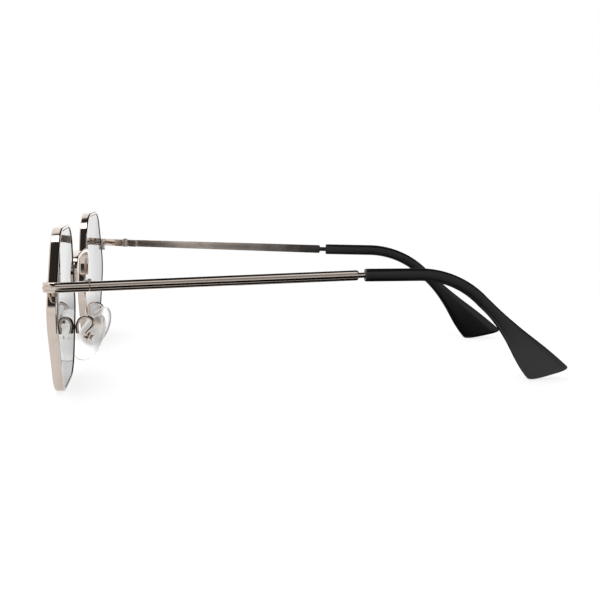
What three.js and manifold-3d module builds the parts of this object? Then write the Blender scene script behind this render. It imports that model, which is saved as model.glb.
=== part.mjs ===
// Six-sided metal sunglasses with folding temples and rocking nose pads.
// Millimetres, +Z up. The front faces -Y, the temples run back along +Y and the
// wearer's left is +X. The finished group stands on Z = 0, centred on its footprint.

import * as THREE from 'three';
import { mergeVertices } from 'three/addons/utils/BufferGeometryUtils.js';
import Module from 'manifold-3d';

const wasm = await Module();
wasm.setup();

// Fits: soldered or screwed seats, turning faces, screws in their holes, lens in its rim
const seatGap = 0.15;
const runningGap = 0.1;
const boreClearance = 0.09;
const lensClearance = 0.15;

// Rim: a rounded hexagon with its flat top and bottom set towards the nose
const noseGap = 23.3;
const rimWidth = 47.9;
const rimHeight = 44.7;
const rimTopAboveHinge = 13.05;
const topEdge = 26.6;
const bottomEdge = 26.2;
const edgeShift = 2.8;
const templeCornerDrop = 20.75;
const noseCornerDrop = 25.55;
const rimCornerRadius = 10.6;
const rimDepth = 2.6;
const rimThickness = 1.05;
const rimEdgeBreak = 0.22;
const rimSplit = 0.3;
const splitBelowHinge = 1.2;
const grooveDepth = 0.45;
const grooveWidth = 1.0;
const grooveForward = 0.3;
const faceForm = THREE.MathUtils.degToRad(1.5);

// Lens
const lensThickness = 1.5;
const lensDome = 0.8;
const lensRings = [0.02, 0.35, 0.7, 1];

// Bridge: an arched band whose legs follow the nose sides of the rims
const bridgeThickness = 1.2;
const bridgeDepth = 2.8;
const bridgeSetback = 1.15;
const bridgeEdgeBreak = 0.25;
const bridgeShoulderHeight = 1.7;
const bridgeArch = 1.0;
const bridgeLegEnd = -6.2;
const bridgeShoulderRadius = 4.0;
const bridgeCrownRadius = 100;

// Temple bar and end piece: a crowned bar whose outer face two fine grooves part into ribs
const barThickness = 1.1;
const barFrontHeight = 2.6;
const barRearHeight = 2.9;
const barLength = 75;
const barEndRound = 0.8;
const barEndShare = 0.85;
const barCrown = 0.15;
const barEdgeRound = 0.3;
const barInnerBreak = 0.2;
const ribCount = 3;
const ribDepth = 0.045;
const neckDiameter = 1.5;
const neckLength = 2.1;

// End piece: along the front of the rim, round the corner and back to the hinge
const endPieceForward = 0.15;
const endPieceFall = 1.2;
const endPieceRadius = 2.15;

// Hinge
const hingeHalfWidth = 62;
const hingeSetback = 9.8;
const hingeGap = 0.3;
const openAngle = THREE.MathUtils.degToRad(17.5);
const templeRise = THREE.MathUtils.degToRad(0.3);
const barrelRadius = 1.05;
const leafThickness = 0.7;
const leafLength = 4.4;
const leafHeight = 2.5;
const hingeScrewRadius = 0.55;
const screwHeadHeight = 0.4;
const screwHeadOverhang = 0.35;
const screwPoint = 0.15;
const screwHeadRound = 0.2;

// Closing block on the temple side of the rim
const blockHeight = 0.85;
const blockWidth = 3.0;
const blockWall = 0.5;
const blockDepth = 2.4;
const closingScrewRadius = 0.45;

// Temple tip
const tipHeight = 3.6;
const tipThickness = 2.5;
const tipStraight = 16.2;
const tipBendRadius = 29;
const tipBend = THREE.MathUtils.degToRad(44.5);
const tipToeOut = THREE.MathUtils.degToRad(10.7);
const paddleStart = 2.5;
const paddleWidth = 13.6;
const paddleThickness = 2.1;
const paddleCut = THREE.MathUtils.degToRad(31.8);
const tipEdgeRound = 1.3;
const tipSquareness = 0.75;
const coreReach = 15;

// Nose pad, its insert, box and screw, laid out round the rocking axis
const padLength = 15.4;
const padWidth = 8.0;
const padThickness = 2.1;
const padTaper = 0.14;
// Share of the thickness from the back, and share of the outline that is left there
const padProfile = [[0, 0.84], [0.2, 0.97], [0.5, 1], [0.85, 0.9], [1, 0.55]];
const padApart = 9.6;
const padBehind = 5.2;
const padBelow = 22.9;
const padLean = THREE.MathUtils.degToRad(-28);
const padSlant = THREE.MathUtils.degToRad(-15);
const padSplay = THREE.MathUtils.degToRad(-20);
const padAxisOffset = 1.35;
const insertLength = 2.0;
const insertWidth = 2.4;
const insertThickness = 0.5;
const insertDepth = 0.7;
const lugThickness = 0.8;
const lugEnd = 0.6;
const boxWall = 0.55;
const boxHeight = 2.2;
const boxRoom = 1.0;
const boxReach = 0.85;
const padScrewRadius = 0.4;

// Pad arm
const armDiameter = 1.0;
const armFootLow = -20.6;
const armFootHigh = -17.6;
const armCrestApart = 13.5;
const armCrestBehind = 3.0;
const armCrestLength = 2.6;
const armCrestBelow = 16.2;
const armElbowApart = 13.9;
const armElbowBehind = 6.5;
const armElbowBelow = 17.7;

// Facets
const arcSteps = 6;
const ribSteps = 4;
const edgeSteps = 3;
const innerSteps = 4;
const roundSides = 16;
const bendSteps = 7;
const paddleSteps = 8;
const padSides = 24;
const armSteps = 22;

const { Vector2, Vector3 } = THREE;

// Reduces a geometry to shared positions and triangles.
function bare(geometry) {
  const copy = geometry.clone();
  copy.deleteAttribute('normal');
  copy.deleteAttribute('uv');
  return mergeVertices(copy, 1e-5);
}

function solidOf(geometry) {
  const plain = bare(geometry);
  const vertProperties = new Float32Array(plain.attributes.position.array);
  const triVerts = new Uint32Array(plain.index.array);
  return new wasm.Manifold(new wasm.Mesh({ numProp: 3, vertProperties, triVerts }));
}

function geometryOf(solid) {
  const mesh = solid.getMesh();
  const geometry = new THREE.BufferGeometry();
  geometry.setAttribute('position', new THREE.BufferAttribute(mesh.vertProperties, 3));
  geometry.setIndex(new THREE.BufferAttribute(mesh.triVerts, 1));
  return geometry;
}

function join(first, ...others) {
  return geometryOf(others.reduce((solid, next) => solid.add(solidOf(next)), solidOf(first)));
}

function cut(first, ...others) {
  return geometryOf(others.reduce((solid, next) => solid.subtract(solidOf(next)), solidOf(first)));
}

// The same piece for the other side of the face.
function mirrored(geometry) {
  const copy = bare(geometry);
  copy.scale(-1, 1, 1);
  const order = copy.index.array;
  for (let i = 0; i < order.length; i += 3) {
    [order[i], order[i + 1]] = [order[i + 1], order[i]];
  }
  return copy;
}

function signedVolume(geometry) {
  const p = geometry.attributes.position;
  const order = geometry.index.array;
  const [a, b, c] = [new Vector3(), new Vector3(), new Vector3()];
  let volume = 0;
  for (let i = 0; i < order.length; i += 3) {
    a.fromBufferAttribute(p, order[i]);
    b.fromBufferAttribute(p, order[i + 1]);
    c.fromBufferAttribute(p, order[i + 2]);
    volume += a.dot(b.cross(c)) / 6;
  }
  return volume;
}

// Skins a row of rings with equal point counts and closes both ends with fans.
function loft(rings) {
  const sides = rings[0].length;
  const points = rings.flat();
  const order = [];
  for (let i = 0; i + 1 < rings.length; i += 1) {
    const low = i * sides;
    const high = low + sides;
    for (let j = 0; j < sides; j += 1) {
      const k = (j + 1) % sides;
      order.push(low + j, high + j, high + k, low + j, high + k, low + k);
    }
  }
  const close = (ring, start, reverse) => {
    const middle = ring.reduce((sum, p) => sum.add(p), new Vector3()).divideScalar(sides);
    const hub = points.push(middle) - 1;
    for (let j = 0; j < sides; j += 1) {
      const k = (j + 1) % sides;
      order.push(hub, start + (reverse ? k : j), start + (reverse ? j : k));
    }
  };
  close(rings[0], 0, false);
  close(rings.at(-1), (rings.length - 1) * sides, true);
  const geometry = new THREE.BufferGeometry().setFromPoints(points);
  geometry.setIndex(order);
  if (signedVolume(geometry) < 0) {
    for (let i = 0; i < order.length; i += 3) {
      [order[i], order[i + 1]] = [order[i + 1], order[i]];
    }
    geometry.setIndex(order);
  }
  return geometry;
}

// Points with outward normals round one corner of a path that turns left.
function roundedCorner(before, corner, after, radius, steps) {
  const arriving = corner.clone().sub(before).normalize();
  const leaving = after.clone().sub(corner).normalize();
  const turn = Math.atan2(arriving.cross(leaving), arriving.dot(leaving));
  const run = radius * Math.tan(turn / 2);
  const firstNormal = new Vector2(arriving.y, -arriving.x);
  const start = corner.clone().addScaledVector(arriving, -run);
  const centre = start.clone().addScaledVector(firstNormal, -radius);
  return Array.from({ length: steps + 1 }, (_, i) => {
    const normal = firstNormal.clone().rotateAround(new Vector2(), (turn * i) / steps);
    return { point: centre.clone().addScaledVector(normal, radius), normal };
  });
}

// Outline of the rim, seen from the front side of the wearer's left eye, in X and Z
const rimCentreX = noseGap / 2 + rimWidth / 2;
const rimBottom = rimTopAboveHinge - rimHeight;
const rimCorners = [
  new Vector2(rimWidth / 2, rimTopAboveHinge - templeCornerDrop),
  new Vector2(topEdge / 2 - edgeShift, rimTopAboveHinge),
  new Vector2(-topEdge / 2 - edgeShift, rimTopAboveHinge),
  new Vector2(-rimWidth / 2, rimTopAboveHinge - noseCornerDrop),
  new Vector2(-bottomEdge / 2 - edgeShift, rimBottom),
  new Vector2(bottomEdge / 2 - edgeShift, rimBottom),
];

// Where a straight side of the rim passes a height, measured from the nose.
function rimSideX(from, to, height) {
  const share = (height - from.y) / (to.y - from.y);
  return rimCentreX + THREE.MathUtils.lerp(from.x, to.x, share);
}
const templeSideX = (height) => rimSideX(rimCorners[0], rimCorners[1], height);
const noseSideX = (height) => rimSideX(rimCorners[2], rimCorners[3], height);
const lowerNoseSideX = (height) => rimSideX(rimCorners[3], rimCorners[4], height);

// The outline from just above the split, round to just below it.
function rimStations() {
  const count = rimCorners.length;
  const round = (i) => roundedCorner(
    rimCorners[(i + count - 1) % count],
    rimCorners[i % count],
    rimCorners[(i + 1) % count],
    rimCornerRadius,
    arcSteps,
  );
  const corners = rimCorners.flatMap((_, i) => round(i + 1));
  const along = rimCorners[1].clone().sub(rimCorners[0]).normalize();
  const normal = new Vector2(along.y, -along.x);
  const split = new Vector2(templeSideX(-splitBelowHinge) - rimCentreX, -splitBelowHinge);
  const splitEnd = (side) => ({
    point: split.clone().addScaledVector(along, (side * rimSplit) / 2),
    normal,
  });
  return [splitEnd(1), ...corners, splitEnd(-1)];
}

function insetPoint(station, inset, y, share = 1) {
  const p = station.point.clone().addScaledVector(station.normal, -inset);
  const middle = (rimTopAboveHinge + rimBottom) / 2;
  return new Vector3(p.x * share, y, middle + (p.y - middle) * share);
}

// Band of the rim: broken edges, and a V groove inside for the lens
function eyewire() {
  const half = rimDepth / 2;
  const section = [
    [0, half - rimEdgeBreak],
    [0, rimEdgeBreak - half],
    [rimEdgeBreak, -half],
    [rimThickness - rimEdgeBreak, -half],
    [rimThickness, rimEdgeBreak - half],
    [rimThickness, -grooveForward - grooveWidth / 2],
    [rimThickness - grooveDepth, -grooveForward],
    [rimThickness, -grooveForward + grooveWidth / 2],
    [rimThickness, half - rimEdgeBreak],
    [rimThickness - rimEdgeBreak, half],
    [rimEdgeBreak, half],
  ];
  return loft(rimStations().map((s) => section.map(([inset, y]) => insetPoint(s, inset, y))));
}

// Domed lens whose bevelled edge stands in the groove
function lens() {
  const body = rimThickness + lensClearance;
  const bevel = rimThickness - grooveDepth + lensClearance;
  const half = lensThickness / 2;
  const stations = rimStations().slice(1, -1);
  const face = (share, side) => stations.map((s) => {
    const y = -grooveForward + side * half - lensDome * (1 - share * share);
    return insetPoint(s, body, y, share);
  });
  const edge = stations.map((s) => insetPoint(s, bevel, -grooveForward));
  return loft([
    ...lensRings.map((share) => face(share, -1)),
    edge,
    ...lensRings.toReversed().map((share) => face(share, 1)),
  ]);
}

// Section of the ribbed bar: outward offset and height of each point, from the top of its outer edge
function ribbedBar(height, thickness) {
  const half = height / 2;
  const faceHalf = half - barEdgeRound;
  const steps = ribSteps * ribCount;
  const face = Array.from({ length: steps + 1 }, (_, i) => {
    const across = 1 - (2 * i) / steps;
    const inRib = (2 * (i % ribSteps)) / ribSteps - 1;
    return new Vector2(thickness / 2 - barCrown * across ** 2 - ribDepth * inRib ** 2, faceHalf * across);
  });
  const edge = Array.from({ length: edgeSteps }, (_, i) => {
    const angle = (Math.PI / 2) * (1 - i / edgeSteps);
    const inward = barEdgeRound * (1 - Math.cos(angle));
    return new Vector2(face[0].x - inward, faceHalf + barEdgeRound * Math.sin(angle));
  });
  const lowerEdge = edge.toReversed().map((p) => new Vector2(p.x, -p.y));
  const inner = Array.from({ length: innerSteps + 1 }, (_, i) => {
    const across = (2 * i) / innerSteps - 1;
    return new Vector2(-thickness / 2, (half - barInnerBreak) * across);
  });
  const brokenX = barInnerBreak - thickness / 2;
  return [
    ...edge,
    ...face,
    ...lowerEdge,
    new Vector2(brokenX, -half),
    ...inner,
    new Vector2(brokenX, half),
  ];
}

// A section stood on a level path, turned so that its outward side faces right of the heading.
function standing(section, point, heading, share = 1) {
  return section.map((p) => new Vector3(
    point.x + p.x * share * heading.y,
    point.y - p.x * share * heading.x,
    (point.z ?? 0) + p.y * share,
  ));
}

// Hinge frame: its origin is the pin, +Y runs along the open temple and +X faces out
const hingeTurn = openAngle - faceForm;
const barOffset = barrelRadius + seatGap + barThickness / 2;
const templeHeading = new Vector2(-Math.sin(hingeTurn), Math.cos(hingeTurn));
const hingeMiddle = new Vector2(hingeHalfWidth, hingeSetback);
const pinPlace = hingeMiddle.clone().sub(new Vector2(barOffset, 0).rotateAround(new Vector2(), hingeTurn));

// Ribbed bar that climbs outwards from the side of the rim, turns the corner and runs back to the hinge
const templeSlope = rimCorners[1].clone().sub(rimCorners[0]).normalize();
const besideRim = (height) => templeSideX(height) + seatGap / Math.abs(templeSlope.y);
const endPieceY = -rimDepth / 2 - endPieceForward + barThickness / 2;
function endPiece() {
  const section = ribbedBar(barFrontHeight, barThickness);
  const start = new Vector2(besideRim(-endPieceFall), endPieceY);
  const corner = new Vector2(
    hingeMiddle.x + (hingeMiddle.y - endPieceY) * Math.tan(hingeTurn),
    endPieceY,
  );
  const end = hingeMiddle.clone().addScaledVector(templeHeading, -hingeGap / 2);
  const bend = roundedCorner(start, corner, end, endPieceRadius, bendSteps).map(({ point, normal }) => ({
    point,
    heading: new Vector2(-normal.y, normal.x),
  }));
  const seat = standing(section, start, bend[0].heading).map((p) => {
    const height = p.z - endPieceFall;
    return new Vector3(besideRim(height), p.y, height);
  });
  const path = [...bend, { point: end, heading: templeHeading }];
  return loft([seat, ...path.map(({ point, heading }) => standing(section, point, heading))]);
}

function upright(radius, low, high) {
  const pin = new THREE.CylinderGeometry(radius, radius, high - low, roundSides);
  pin.rotateX(Math.PI / 2);
  pin.translate(0, 0, (low + high) / 2);
  return pin;
}

function box(low, high) {
  const size = new Vector3().subVectors(high, low);
  const middle = new Vector3().addVectors(low, high).multiplyScalar(0.5);
  return new THREE.BoxGeometry(size.x, size.y, size.z).translate(middle.x, middle.y, middle.z);
}

// Screw along +Z from the tip of its shank up to a domed head whose underside is at the given height
function screw(radius, low, underHead) {
  const head = radius + screwHeadOverhang;
  const profile = [
    new Vector2(0, low),
    new Vector2(radius - screwPoint, low),
    new Vector2(radius, low + screwPoint),
    new Vector2(radius, underHead),
    new Vector2(head, underHead),
    new Vector2(head, underHead + screwHeadHeight - screwHeadRound),
    new Vector2(head - screwHeadRound, underHead + screwHeadHeight),
    new Vector2(0, underHead + screwHeadHeight),
  ];
  return new THREE.LatheGeometry(profile, roundSides).rotateX(Math.PI / 2);
}

// Half of the closing block: its inner face follows the slanting side of the rim
const blockSetback = endPieceY + barThickness / 2 + seatGap + blockDepth / 2;
const blockOuterX = templeSideX(0) + seatGap + blockWidth;
const closingAxisX = blockOuterX - blockWall - closingScrewRadius;
function closingBlock(side) {
  const near = -splitBelowHinge + (side * rimSplit) / 2;
  const far = near + side * blockHeight;
  const profile = new THREE.Shape([
    new Vector2(besideRim(near), near),
    new Vector2(blockOuterX, near),
    new Vector2(blockOuterX, far),
    new Vector2(besideRim(far), far),
  ]);
  const block = new THREE.ExtrudeGeometry(profile, { depth: blockDepth, bevelEnabled: false });
  block.rotateX(Math.PI / 2).translate(0, blockSetback + blockDepth / 2, 0);
  const reach = splitBelowHinge + 2 * blockHeight;
  const hole = upright(closingScrewRadius + boreClearance, -reach, reach);
  return cut(block, hole.translate(closingAxisX, blockSetback, 0));
}

function closingScrew() {
  const underHead = rimSplit / 2 + blockHeight + seatGap;
  const body = screw(closingScrewRadius, -underHead, underHead);
  return body.translate(closingAxisX, blockSetback, -splitBelowHinge);
}

// Hinge leaf: a plate with one or two knuckles round the pin, on the side of the pin that is asked for
const knuckleHeight = (leafHeight - 2 * runningGap) / 3;
function hingeLeaf(side, knuckles) {
  const outer = barOffset - barThickness / 2 - seatGap;
  const inner = outer - leafThickness;
  const clear = barrelRadius + hingeGap;
  const plateStart = Math.min(side * clear, side * leafLength);
  const plateEnd = Math.max(side * clear, side * leafLength);
  const plate = box(
    new Vector3(inner, plateStart, -leafHeight / 2),
    new Vector3(outer, plateEnd, leafHeight / 2),
  );
  const web = new THREE.Shape();
  const waist = Math.acos(inner / barrelRadius);
  web.moveTo(inner, -clear - hingeGap);
  web.lineTo(outer, -clear - hingeGap);
  web.lineTo(outer, 0);
  web.absarc(0, 0, barrelRadius, 0, 2 * Math.PI - waist, false);
  const bore = new THREE.Path();
  bore.absarc(0, 0, hingeScrewRadius + boreClearance, 0, 2 * Math.PI, true);
  web.holes.push(bore);
  const lugs = knuckles.map((step) => {
    const lug = new THREE.ExtrudeGeometry(web, {
      depth: knuckleHeight,
      bevelEnabled: false,
      curveSegments: roundSides,
    });
    if (side > 0) {
      lug.rotateX(Math.PI);
    }
    return lug.translate(0, 0, step * (knuckleHeight + runningGap) + (side * knuckleHeight) / 2);
  });
  return join(plate, ...lugs);
}

function hingeScrew() {
  const reach = leafHeight / 2 + runningGap;
  return screw(hingeScrewRadius, -reach, reach);
}

// Temple bar: ribbed outside, flat inside, rounding off into the wire neck and the core
function temple() {
  const barSection = (y) => {
    const share = y / barLength;
    const height = THREE.MathUtils.lerp(barFrontHeight, barRearHeight, share);
    return ribbedBar(height, barThickness);
  };
  const ring = (y, share = 1) => standing(barSection(y), new Vector2(0, y), new Vector2(0, 1), share);
  const wire = barSection(0).map((p) => p.clone().setLength(neckDiameter / 2));
  const mouth = barLength + neckLength;
  const turned = new Vector2(Math.sin(tipToeOut), Math.cos(tipToeOut));
  const coreEnd = new Vector3(
    coreReach * turned.x,
    mouth + coreReach * turned.y,
    -coreReach * turned.y * Math.sin(templeRise),
  );
  const straight = new Vector2(0, 1);
  return loft([
    ring(hingeGap / 2),
    ring(barLength / 2),
    ring(barLength - barEndRound),
    ring(barLength - barEndRound / 3, barEndShare),
    standing(wire, new Vector2(0, barLength), straight),
    standing(wire, new Vector2(0, mouth - seatGap), straight),
    standing(wire, coreEnd, turned),
  ]);
}

// Temple tip, from the mouth of its bore over the bend behind the ear to the paddle's end
function templeTip() {
  const oval = (height, thickness) => Array.from({ length: roundSides }, (_, i) => {
    const angle = (2 * Math.PI * (i + 0.5)) / roundSides;
    const square = (v) => Math.sign(v) * Math.abs(v) ** tipSquareness;
    return new Vector2(square(Math.cos(angle)) * thickness / 2, square(Math.sin(angle)) * height / 2);
  });
  // A section across the path: s and z locate it and lean turns its upper edge forwards
  const across = (section, s, z, lean) => section.map((p) => new Vector3(
    p.x,
    s + p.y * Math.sin(lean),
    z + p.y * Math.cos(lean),
  ));
  const bend = Array.from({ length: bendSteps }, (_, i) => {
    const angle = (tipBend * (i + 1)) / bendSteps;
    const s = tipStraight + tipBendRadius * Math.sin(angle);
    const z = -tipBendRadius * (1 - Math.cos(angle));
    return across(oval(tipHeight, tipThickness), s, z, angle);
  });
  const bendEnd = new Vector2(
    tipStraight + tipBendRadius * Math.sin(tipBend),
    -tipBendRadius * (1 - Math.cos(tipBend)),
  );
  const paddle = (length) => {
    const full = 1 - tipEdgeRound / length;
    const stops = Array.from({ length: paddleSteps }, (_, i) => (full * (i + 1)) / paddleSteps);
    // The width grows slowly at first and eases off towards the end
    const at = (share, trim) => {
      const flare = Math.max(0, (length * share - paddleStart) / (length - paddleStart));
      const width = THREE.MathUtils.lerp(tipHeight, paddleWidth, flare ** 2 * (2 - flare)) - trim;
      const thick = THREE.MathUtils.lerp(tipThickness, paddleThickness, share) - trim / 2;
      const lean = tipBend + paddleCut * share;
      const s = bendEnd.x + length * share * Math.cos(tipBend);
      const z = bendEnd.y - length * share * Math.sin(tipBend);
      return across(oval(width, thick), s, z, lean);
    };
    const edge = [30, 60, 90].map((degrees) => {
      const angle = THREE.MathUtils.degToRad(degrees);
      return at(full + (1 - full) * Math.sin(angle), 2 * tipEdgeRound * (1 - Math.cos(angle)));
    });
    return [...stops.map((share) => at(share, 0)), ...edge];
  };
  // The paddle is as long as it takes to stand on the same surface as the rims
  const lowest = (rings) => Math.min(...rings.flat().map((p) => p.z));
  const guess = tipBendRadius;
  const mouthHeight = (barLength + neckLength) * Math.sin(templeRise);
  const drop = lowest(paddle(guess)) + mouthHeight - rimBottom;
  const length = guess + drop / Math.sin(tipBend);
  const boreRadius = neckDiameter / 2 + boreClearance;
  const bore = oval(1, 1).map((p) => p.clone().setLength(boreRadius / Math.cos(Math.PI / roundSides)));
  return loft([
    across(bore, coreReach + seatGap, 0, 0),
    across(bore, 0, 0, 0),
    across(oval(tipHeight - tipEdgeRound, tipThickness - tipEdgeRound / 2), 0, 0, 0),
    across(oval(tipHeight, tipThickness), tipEdgeRound / 2, 0, 0),
    across(oval(tipHeight, tipThickness), tipStraight, 0, 0),
    ...bend,
    ...paddle(length),
  ]);
}

// Nose pad group: its origin is the rocking axis, which runs along Y; the nose is towards -X
const padBack = -padAxisOffset;
const padMiddle = padBack - padThickness / 2;
const insertSeat = padBack - insertDepth;

function nosePad() {
  const egg = (x, share) => Array.from({ length: padSides }, (_, i) => {
    const angle = (2 * Math.PI * i) / padSides;
    const narrow = 1 - padTaper * Math.sin(angle);
    const y = (padWidth / 2) * share * Math.cos(angle) * narrow;
    return new Vector3(x, y, (padLength / 2) * share * Math.sin(angle));
  });
  const body = loft(padProfile.map(([depth, share]) => egg(padBack - padThickness * depth, share)));
  return cut(body, box(
    new Vector3(insertSeat, -insertWidth / 2 - seatGap, -insertLength / 2 - seatGap),
    new Vector3(0, insertWidth / 2 + seatGap, insertLength / 2 + seatGap),
  ));
}

function crosswise(radius, halfLength) {
  return new THREE.CylinderGeometry(radius, radius, 2 * halfLength, roundSides);
}

// Plate set in the back of the pad, with a lug that reaches into the box
function padInsert() {
  const plateBack = insertSeat + seatGap + insertThickness;
  const profile = new THREE.Shape([
    new Vector2(insertSeat + seatGap, -insertWidth / 2),
    new Vector2(plateBack, -insertWidth / 2),
    new Vector2(plateBack, -lugThickness / 2),
    new Vector2(lugEnd, -lugThickness / 2),
    new Vector2(lugEnd, lugThickness / 2),
    new Vector2(plateBack, lugThickness / 2),
    new Vector2(plateBack, insertWidth / 2),
    new Vector2(insertSeat + seatGap, insertWidth / 2),
  ]);
  const body = new THREE.ExtrudeGeometry(profile, { depth: insertLength, bevelEnabled: false });
  body.translate(0, 0, -insertLength / 2);
  return cut(body, crosswise(padScrewRadius + boreClearance, insertWidth));
}

// U-shaped clip: two ears either side of the lug and a back plate that the arm is soldered to
const boxBack = lugEnd + boxRoom - boxWall;
function padBox() {
  const slot = lugThickness / 2 + runningGap;
  const outer = slot + boxWall;
  const profile = new THREE.Shape([
    new Vector2(-boxReach, slot),
    new Vector2(-boxReach, outer),
    new Vector2(boxBack + boxWall, outer),
    new Vector2(boxBack + boxWall, -outer),
    new Vector2(-boxReach, -outer),
    new Vector2(-boxReach, -slot),
    new Vector2(boxBack, -slot),
    new Vector2(boxBack, slot),
  ]);
  const body = new THREE.ExtrudeGeometry(profile, { depth: boxHeight, bevelEnabled: false });
  body.translate(0, 0, -boxHeight / 2);
  return cut(body, crosswise(padScrewRadius + boreClearance, 2 * outer));
}

function padScrew() {
  const reach = lugThickness / 2 + runningGap + boxWall + runningGap;
  return screw(padScrewRadius, -reach, reach).rotateX(-Math.PI / 2);
}

// Placing: every group and piece of the left side has a mirror image on the right
const sides = { left: 1, right: -1 };

function pairOf(parents, position, turn = new THREE.Euler()) {
  return Object.fromEntries(Object.entries(sides).map(([side, sign]) => {
    const group = new THREE.Group();
    group.position.set(sign * position.x, position.y, position.z);
    group.rotation.set(turn.x, sign * turn.y, sign * turn.z);
    parents[side].add(group);
    return [side, group];
  }));
}

function finish(colour, roughness, metalness, opacity = 1) {
  return new THREE.MeshStandardMaterial({
    color: colour,
    roughness,
    metalness,
    opacity,
    transparent: opacity < 1,
    flatShading: true,
  });
}
const polishedMetal = () => finish(0xc4c1bc, 0.15, 1);
const darkLens = () => finish(0x2a2c2f, 0.05, 0);
const blackPlastic = () => finish(0x202021, 0.5, 0);
const clearPlastic = () => finish(0xe6e6e2, 0.1, 0, 0.45);

function addPair(parents, name, geometry, material) {
  const shapes = { left: bare(geometry), right: mirrored(geometry) };
  for (const side of Object.keys(sides)) {
    const mesh = new THREE.Mesh(shapes[side], material());
    mesh.name = `${side}_${name}`;
    parents[side].add(mesh);
  }
}

const glasses = new THREE.Group();
const whole = { left: glasses, right: glasses };
const front = pairOf(whole, new Vector3(), new THREE.Euler(0, 0, faceForm));

const rim = pairOf(front, new Vector3(rimCentreX, 0, 0));
addPair(rim, 'eyewire', eyewire(), polishedMetal);
addPair(rim, 'lens', lens(), darkLens);

addPair(front, 'closing_block_upper', closingBlock(1), polishedMetal);
addPair(front, 'closing_block_lower', closingBlock(-1), polishedMetal);
addPair(front, 'closing_screw', closingScrew(), polishedMetal);
addPair(front, 'end_piece', endPiece(), polishedMetal);

const hinge = pairOf(front, new Vector3(pinPlace.x, pinPlace.y, 0), new THREE.Euler(0, 0, hingeTurn));
addPair(hinge, 'front_hinge_leaf', hingeLeaf(-1, [-1, 1]), polishedMetal);
addPair(hinge, 'hinge_screw', hingeScrew(), polishedMetal);
addPair(hinge, 'temple_hinge_leaf', hingeLeaf(1, [0]), polishedMetal);

const arm = pairOf(hinge, new Vector3(barOffset, 0, 0), new THREE.Euler(templeRise, 0, 0));
addPair(arm, 'temple', temple(), polishedMetal);
const tipPlace = new Vector3(0, barLength + neckLength, 0);
const tip = pairOf(arm, tipPlace, new THREE.Euler(-templeRise, 0, -tipToeOut));
addPair(tip, 'temple_tip', templeTip(), blackPlastic);

// The rocking axis lies behind the middle of the pad
const padTurn = new THREE.Euler(padLean, padSlant, padSplay);
const padCentre = new Vector3(padApart, padBehind, -padBelow);
const padPlace = new Vector3(-padMiddle, 0, 0).applyEuler(padTurn).add(padCentre);
const pad = pairOf(front, padPlace, padTurn);
addPair(pad, 'nose_pad', nosePad(), clearPlastic);
addPair(pad, 'pad_insert', padInsert(), polishedMetal);
addPair(pad, 'pad_box', padBox(), polishedMetal);
addPair(pad, 'pad_screw', padScrew(), polishedMetal);

// Goose-neck wire from a foot on the back of the rim to the back plate of the box
function padArm() {
  const footY = rimDepth / 2 + seatGap + armDiameter / 2;
  const foot = (height) => new Vector3(lowerNoseSideX(height) + rimThickness / 2, footY, height);
  const boxSeat = boxBack + boxWall + seatGap;
  const fromBox = (x) => new Vector3(x, 0, 0).applyEuler(padTurn).add(padPlace);
  const route = new THREE.CatmullRomCurve3([
    foot(armFootLow),
    foot(armFootHigh),
    new Vector3(armCrestApart, armCrestBehind, -armCrestBelow),
    new Vector3(armCrestApart, armCrestBehind + armCrestLength, -armCrestBelow),
    new Vector3(armElbowApart, armElbowBehind, -armElbowBelow),
    fromBox(boxSeat + armDiameter),
    fromBox(boxSeat),
  ]);
  const section = new THREE.Shape().absarc(0, 0, armDiameter / 2, 0, 2 * Math.PI);
  return new THREE.ExtrudeGeometry(section, {
    steps: armSteps,
    curveSegments: 4,
    bevelEnabled: false,
    extrudePath: route,
  });
}
addPair(front, 'pad_arm', padArm(), polishedMetal);

// Bridge: a broken-edged band carried over the nose from leg to leg
function bridge() {
  const legOffset = seatGap + bridgeThickness / 2;
  const lean = Math.atan2(rimCorners[2].x - rimCorners[3].x, rimCorners[2].y - rimCorners[3].y);
  const legX = (height) => noseSideX(height) - legOffset / Math.cos(lean);
  const foot = new Vector2(legX(bridgeLegEnd), bridgeLegEnd);
  const shoulder = new Vector2(legX(bridgeShoulderHeight), bridgeShoulderHeight);
  const crown = new Vector2(0, bridgeShoulderHeight + bridgeArch);
  const flip = (p) => new Vector2(-p.x, p.y);
  const along = shoulder.clone().sub(foot).normalize();
  const normal = new Vector2(along.y, -along.x);
  const stations = [
    { point: foot, normal },
    ...roundedCorner(foot, shoulder, crown, bridgeShoulderRadius, arcSteps),
    ...roundedCorner(shoulder, crown, flip(shoulder), bridgeCrownRadius, arcSteps),
    ...roundedCorner(crown, flip(shoulder), flip(foot), bridgeShoulderRadius, arcSteps),
    { point: flip(foot), normal: flip(normal) },
  ];
  const [h, d, e] = [bridgeThickness / 2, bridgeDepth / 2, bridgeEdgeBreak];
  const halfSection = [[h, e - d], [h, d - e], [h - e, d], [e - h, d]];
  const section = [...halfSection, ...halfSection.map(([out, y]) => [-out, -y])];
  return loft(stations.map((s) => section.map(([out, y]) => {
    const p = s.point.clone().addScaledVector(s.normal, out);
    return new Vector3(p.x, bridgeSetback + y, p.y);
  })));
}
const bridgeMesh = new THREE.Mesh(bridge(), polishedMetal());
bridgeMesh.name = 'bridge';
glasses.add(bridgeMesh);

// Stand the glasses on Z = 0 with the middle of their footprint at the origin
glasses.updateMatrixWorld(true);
const reach = new THREE.Box3().setFromObject(glasses, true);
glasses.position.set(0, -(reach.min.y + reach.max.y) / 2, -reach.min.z);

export default glasses;
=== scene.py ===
# Six-sided metal sunglasses with folding temples and rocking nose pads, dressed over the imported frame.
from math import atan2, cos, pi, radians, sin, tan

import bmesh
import bpy
from mathutils import Euler, Matrix, Vector


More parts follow.
